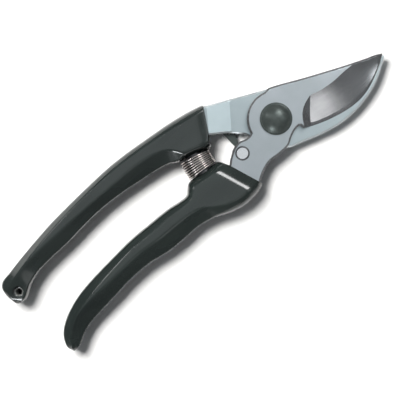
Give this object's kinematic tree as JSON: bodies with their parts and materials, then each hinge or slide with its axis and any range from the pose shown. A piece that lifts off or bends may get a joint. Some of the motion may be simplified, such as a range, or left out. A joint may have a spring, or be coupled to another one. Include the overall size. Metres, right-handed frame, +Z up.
{
  "type": "pruning shears",
  "caption": "Bypass pruning shears with a curved cutting blade, a hooked counter blade, coated grips, a coil spring between the handles and a lock lever behind the pivot.",
  "frame": {"origin": "on the pivot axis, in the end face of the pivot bolt and nut, which is the plane that the closed shears lie on", "axes": "+X towards the tip of the closed blades, +Y towards the counter handle's side, +Z up along the pivot axis through the domed bolt head"},
  "size_m": [0.1976, 0.0549, 0.0159],
  "materials": {
    "cutting_steel": "satin forged steel with a polished grind",
    "counter_steel": "satin chrome-plated forging",
    "cutting_coating": "glossy dark green-black vinyl",
    "counter_coating": "glossy dark green-black vinyl",
    "blackened_steel": "blackened, slightly glossy",
    "bright_steel": "bright plated steel",
    "plain_steel": "zinc-plated steel",
    "spring_steel": "dark oiled spring wire"
  },
  "bodies": {
    "cutting_half": {"cutting_blade": "cutting_steel", "cutting_grip": "cutting_coating", "cutting_spring_peg": "plain_steel", "main_spring": "spring_steel", "lock_rivet": "bright_steel", "lock_wave_washer": "plain_steel"},
    "counter_half": {"counter_blade": "counter_steel", "counter_grip": "counter_coating", "counter_spring_peg": "plain_steel", "pivot_bolt": "blackened_steel", "bolt_washer": "blackened_steel", "nut_washer": "plain_steel", "pivot_nut": "plain_steel", "nut_lock_plate": "plain_steel", "lock_plate_screw": "plain_steel", "keeper_pin": "bright_steel"},
    "lock_body": {"lock_lever": "blackened_steel"}
  },
  "joints": [
    {"name": "main_pivot", "type": "hinge", "parent": "cutting_half", "child": "counter_half", "pos_m": [0, 0, 0.008], "axis": [0, 0, -1], "range_deg": [0, 28], "stiffness_Nm_per_rad": 1.2, "springref_deg": 41.25, "deforming": ["main_spring"]},
    {"name": "lock_swing", "type": "hinge", "parent": "cutting_half", "child": "lock_body", "pos_m": [-0.0211, -0.0029, 0.0024], "axis": [0, 0, -1], "range_deg": [0, 18]}
  ]
}
